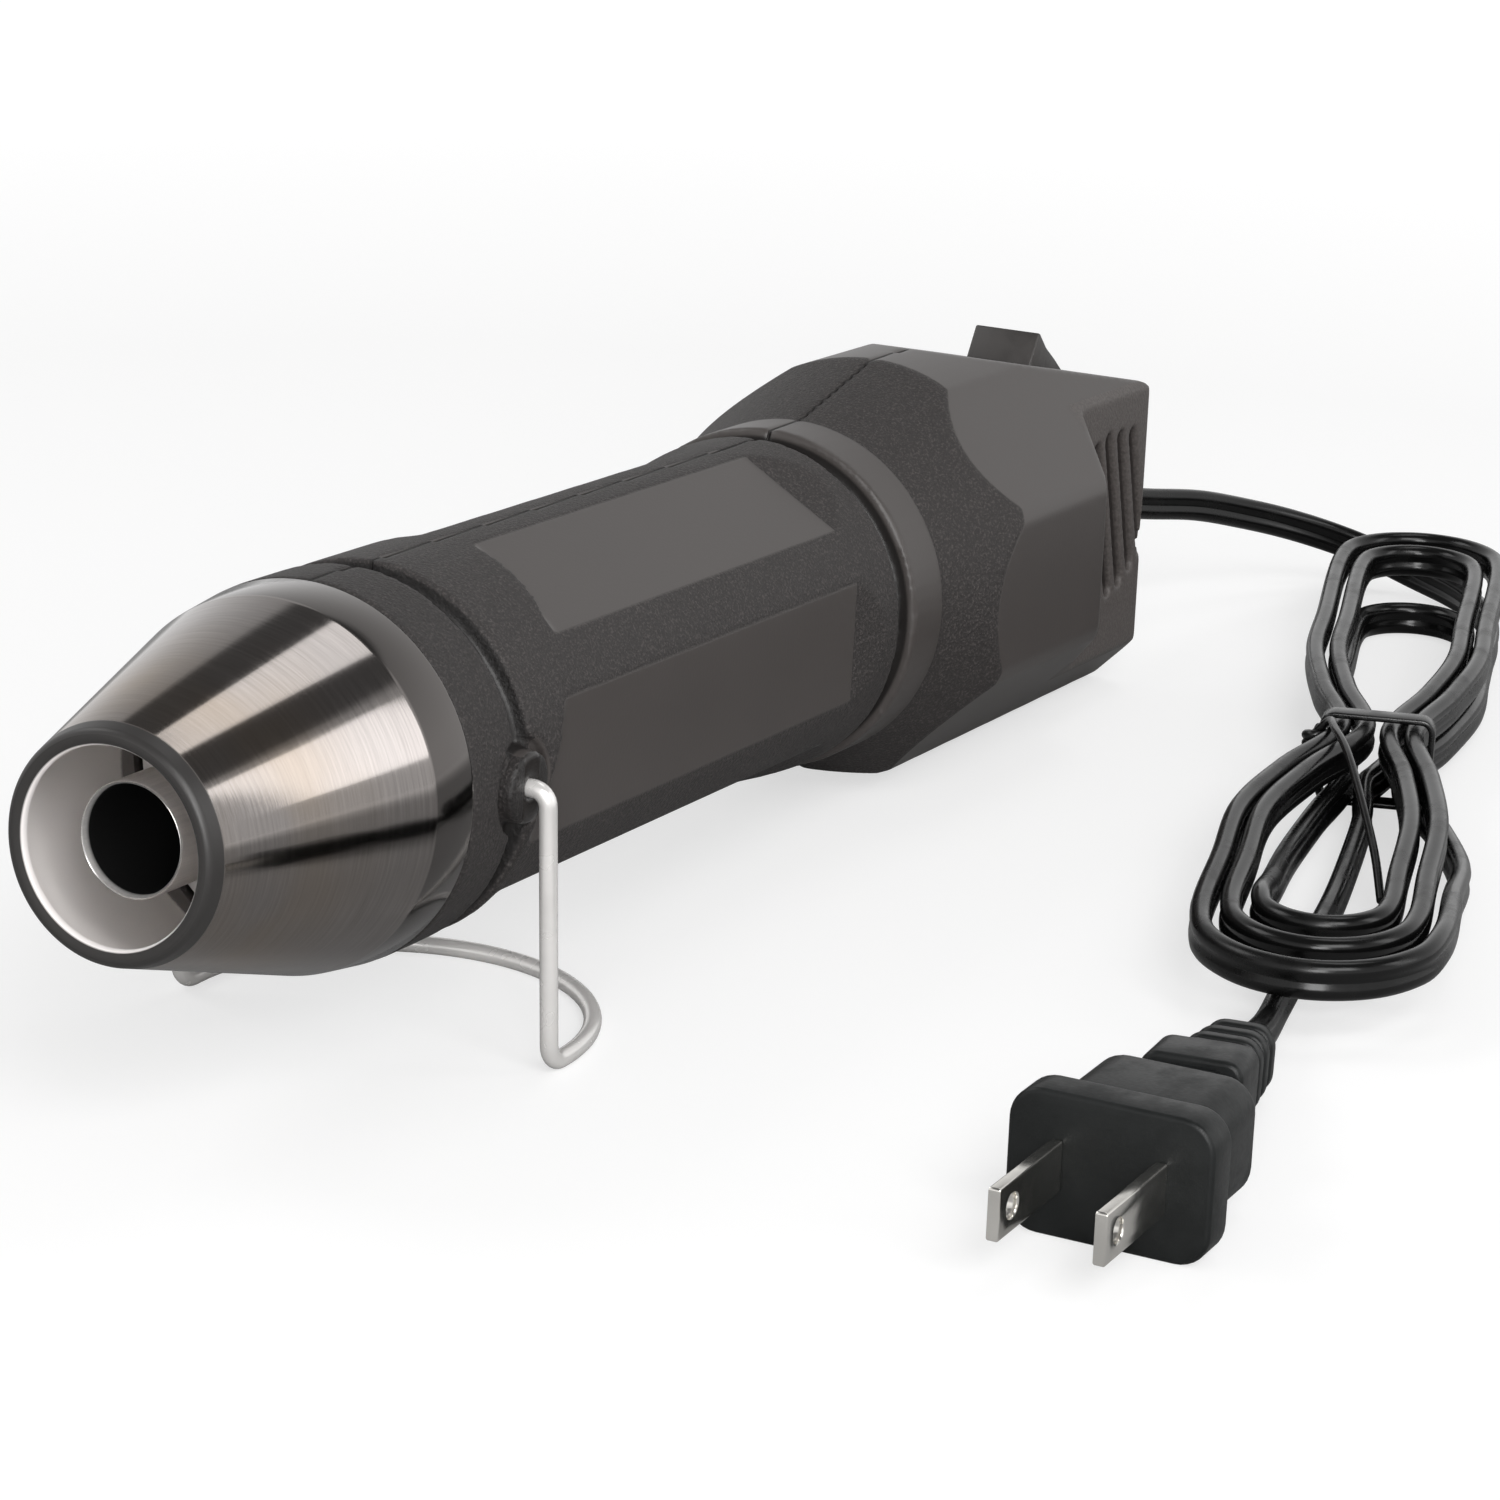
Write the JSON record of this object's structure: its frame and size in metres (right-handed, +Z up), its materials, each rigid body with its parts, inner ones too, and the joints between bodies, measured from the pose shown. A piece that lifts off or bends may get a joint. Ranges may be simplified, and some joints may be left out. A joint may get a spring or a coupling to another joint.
{
  "type": "embossing heat tool",
  "caption": "Hand-held hot-air craft tool: round grip, steel nozzle guard, faceted motor end with side vents and rocker switch, folding wire stand and coiled flat mains lead.",
  "frame": {"origin": "on the floor under the middle of the tool's own box, without its lead", "axes": "+X from the nozzle to the rear end, level with the floor; +Y to the tool's right; +Z up"},
  "size_m": [0.3374, 0.1473, 0.0614],
  "materials": {
    "housing": "moulded, part smooth and part spark-textured",
    "screw_steel": "zinc plated",
    "guard_steel": "brushed round the axis, warm heat tint",
    "tube_steel": "bright drawn tube",
    "mica": "pressed mica",
    "coil_wire": "resistance wire",
    "ceramic": "glazed ceramic",
    "motor_steel": "plated steel",
    "inner_plastic": "plain moulded",
    "bronze": "sintered",
    "board": "coated board",
    "wire_cover": "flexible cover",
    "switch_black": "semi-gloss",
    "stand_steel": "drawn wire",
    "cord_black": "satin flexible cover",
    "tie_black": "covered wire",
    "blade_brass": "nickel washed"
  },
  "bodies": {
    "housing": {"left_shell": "housing", "right_shell": "housing", "housing_screws": "screw_steel", "nozzle_shield": "guard_steel", "outlet_tube": "tube_steel", "tube_washer": "mica", "air_funnel": "tube_steel", "mica_former": "mica", "heating_coil": "coil_wire", "mica_sleeve": "mica", "thermal_cutout": "ceramic", "motor_can": "motor_steel", "motor_mount": "inner_plastic", "motor_bearing": "bronze", "rectifier_board": "board", "inner_wires": "wire_cover", "switch_body": "switch_black", "rocker_pin": "motor_steel", "strain_relief": "cord_black", "cord_lead": "cord_black", "cord_hank": "cord_black", "cord_tail": "cord_black", "cord_tie": "tie_black", "plug_body": "cord_black", "live_blade": "blade_brass", "neutral_blade": "blade_brass"},
    "stand": {"stand_wire": "stand_steel"},
    "rocker": {"switch_rocker": "switch_black"},
    "rotor": {"motor_shaft": "motor_steel", "fan_wheel": "inner_plastic"}
  },
  "joints": [
    {"name": "stand_hinge", "type": "hinge", "parent": "housing", "child": "stand", "pos_m": [-0.07556, 0, 0.0368], "axis": [0, 1, 0], "range_deg": [-8, 90]},
    {"name": "switch_rock", "type": "hinge", "parent": "housing", "child": "rocker", "pos_m": [0.11742, 0, 0.04816], "axis": [0, 1, 0], "range_deg": [-20, 0]},
    {"name": "rotor_spin", "type": "hinge", "parent": "housing", "child": "rotor", "pos_m": [0.02176, 0, 0.03281], "axis": [0.9992, 0, -0.041], "continuous": true}
  ]
}
